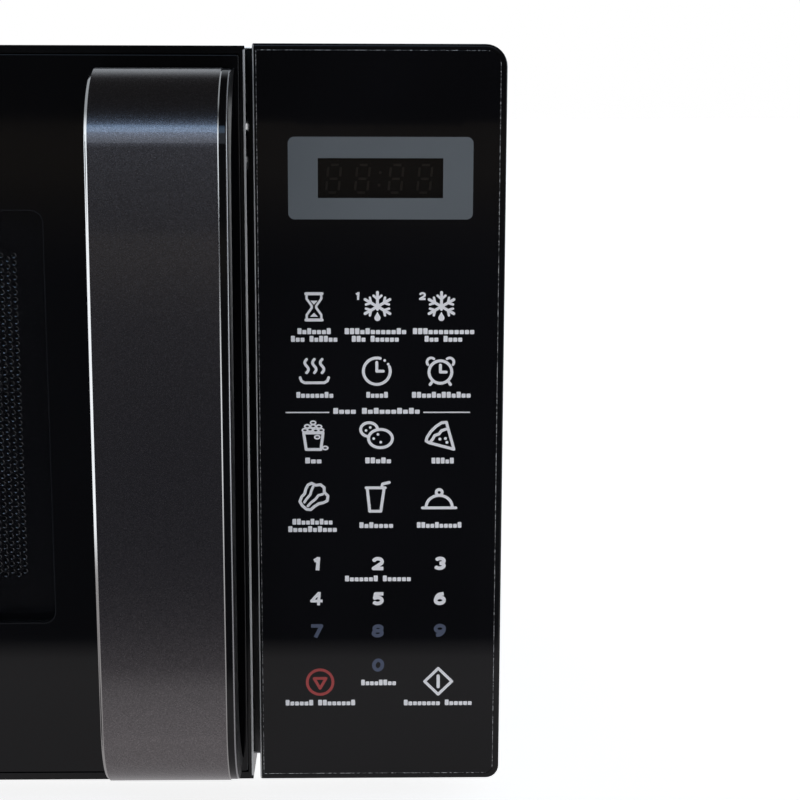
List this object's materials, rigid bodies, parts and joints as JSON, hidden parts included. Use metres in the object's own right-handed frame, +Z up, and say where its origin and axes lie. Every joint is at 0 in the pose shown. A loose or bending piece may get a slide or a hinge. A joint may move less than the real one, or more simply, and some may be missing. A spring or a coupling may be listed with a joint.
{
  "type": "microwave oven",
  "caption": "Countertop microwave oven with a side-hinged window door, vertical strap handle, membrane control panel, turntable and full electrical bay.",
  "frame": {"origin": "on the surface the feet stand on, at the middle of the oven's width and of its depth with the handle", "axes": "+Z up, +X to the right seen from the front, -Y out of the door"},
  "size_m": [0.452, 0.364, 0.2587],
  "materials": {
    "case_paint": "satin black powder coat",
    "cavity_enamel": "light grey enamel",
    "zinc_sheet": "zinc-plated sheet",
    "rubber_feet": "matte",
    "black_plastic": "fine grain",
    "gloss_black": "piano black",
    "membrane_film": "smooth printed film",
    "display_lens": "smoked, clear",
    "strap_metallic": "dark metallic lacquer",
    "door_glass": "black-printed tempered glass",
    "screen_steel": "black perforated sheet",
    "inner_film": "clear film",
    "cover_plastic": "matte",
    "cream_plastic": "acetal",
    "steel": "plain steel",
    "circuit_board": "solder mask",
    "components": "moulded",
    "switch_plastic": "moulded",
    "tail_film": "clear film with printed tracks",
    "mica": "mica board",
    "copper": "enamelled copper",
    "core_steel": "varnished laminations",
    "aluminium_can": "drawn can",
    "lamp_glass": "clear",
    "ceramic_white": "moulded",
    "lead_insulation": "silicone insulation",
    "tray_glass": "clear tempered glass"
  },
  "bodies": {
    "case": {"outer_cabinet": "case_paint", "cavity": "cavity_enamel", "rear_panel": "zinc_sheet", "base_plate": "zinc_sheet", "feet": "rubber_feet", "rear_spacer": "black_plastic", "cabinet_screws": "steel", "cord_gland": "black_plastic", "panel_housing": "gloss_black", "membrane_sheet": "membrane_film", "display_window": "display_lens", "display_module": "switch_plastic", "control_board": "circuit_board", "board_relays": "components", "membrane_tail": "tail_film", "latch_board": "cream_plastic", "microswitches": "switch_plastic", "waveguide": "zinc_sheet", "waveguide_cover": "mica", "magnetron_yoke": "zinc_sheet", "magnetron_anode": "copper", "magnetron_fins": "aluminium_can", "magnetron_filter": "zinc_sheet", "transformer_core": "core_steel", "transformer_coils": "copper", "hv_capacitor": "aluminium_can", "capacitor_clamp": "zinc_sheet", "hv_diode": "switch_plastic", "fan_shroud": "black_plastic", "fan_motor": "core_steel", "air_duct": "black_plastic", "oven_lamp": "lamp_glass", "lamp_socket": "ceramic_white", "thermal_cutouts": "switch_plastic", "filter_board": "circuit_board", "wiring_harness": "lead_insulation", "turntable_motor": "zinc_sheet", "upper_hinge": "steel", "lower_hinge": "steel", "hinge_pins": "steel"},
    "door": {"door_frame": "gloss_black", "door_glass": "door_glass", "door_plate": "screen_steel", "door_screen": "screen_steel", "inner_window": "inner_film", "choke_cover": "cover_plastic", "handle_body": "gloss_black", "handle_strap": "strap_metallic", "handle_screws": "steel", "latch_spring": "steel"},
    "latch": {"latch_hook": "cream_plastic"},
    "lever": {"interlock_lever": "cream_plastic"},
    "turntable": {"turntable_coupler": "cream_plastic", "glass_tray": "tray_glass"},
    "ring": {"roller_ring": "cream_plastic"},
    "wheel_a": {"roller_a": "cream_plastic"},
    "wheel_b": {"roller_b": "cream_plastic"},
    "wheel_c": {"roller_c": "cream_plastic"},
    "fan": {"fan_shaft": "steel", "fan_impeller": "cream_plastic"}
  },
  "joints": [
    {"name": "door_hinge", "type": "hinge", "parent": "case", "child": "door", "pos_m": [-0.219, -0.114, 0.136], "axis": [0, 0, -1], "range_deg": [0, 100]},
    {"name": "latch_lift", "type": "slide", "parent": "door", "child": "latch", "axis": [0, 0, 1], "range_m": [0, 0.003], "stiffness_N_per_m": 300, "springref_m": -0.003, "deforming": ["latch_spring"]},
    {"name": "lever_overtravel", "type": "hinge", "parent": "case", "child": "lever", "pos_m": [0.129, -0.072, 0.088], "axis": [1, 0, 0], "range_deg": [0, 6], "stiffness_Nm_per_rad": 0.05, "springref_deg": -5.73},
    {"name": "turntable_spin", "type": "hinge", "parent": "case", "child": "turntable", "pos_m": [-0.052, 0.0294, 0.03], "axis": [0, 0, 1], "continuous": true},
    {"name": "ring_spin", "type": "hinge", "parent": "case", "child": "ring", "pos_m": [-0.052, 0.0294, 0.0373], "axis": [0, 0, 1], "continuous": true},
    {"name": "wheel_a_spin", "type": "hinge", "parent": "ring", "child": "wheel_a", "pos_m": [0.034, 0.0294, 0.0373], "axis": [1, 0, 0], "continuous": true},
    {"name": "wheel_b_spin", "type": "hinge", "parent": "ring", "child": "wheel_b", "pos_m": [-0.095, 0.10388, 0.0373], "axis": [-0.5, 0.866, 0], "continuous": true},
    {"name": "wheel_c_spin", "type": "hinge", "parent": "ring", "child": "wheel_c", "pos_m": [-0.095, -0.04508, 0.0373], "axis": [-0.5, -0.866, 0], "continuous": true},
    {"name": "fan_spin", "type": "hinge", "parent": "case", "child": "fan", "pos_m": [0.165, 0.12, 0.178], "axis": [0, 1, 0], "continuous": true}
  ],
  "couplings": [
    {"joint": "ring_spin", "follows": "turntable_spin", "ratio": 0.5},
    {"joint": "wheel_a_spin", "follows": "turntable_spin", "ratio": -6.1429},
    {"joint": "wheel_b_spin", "follows": "turntable_spin", "ratio": -6.1429},
    {"joint": "wheel_c_spin", "follows": "turntable_spin", "ratio": -6.1429}
  ]
}
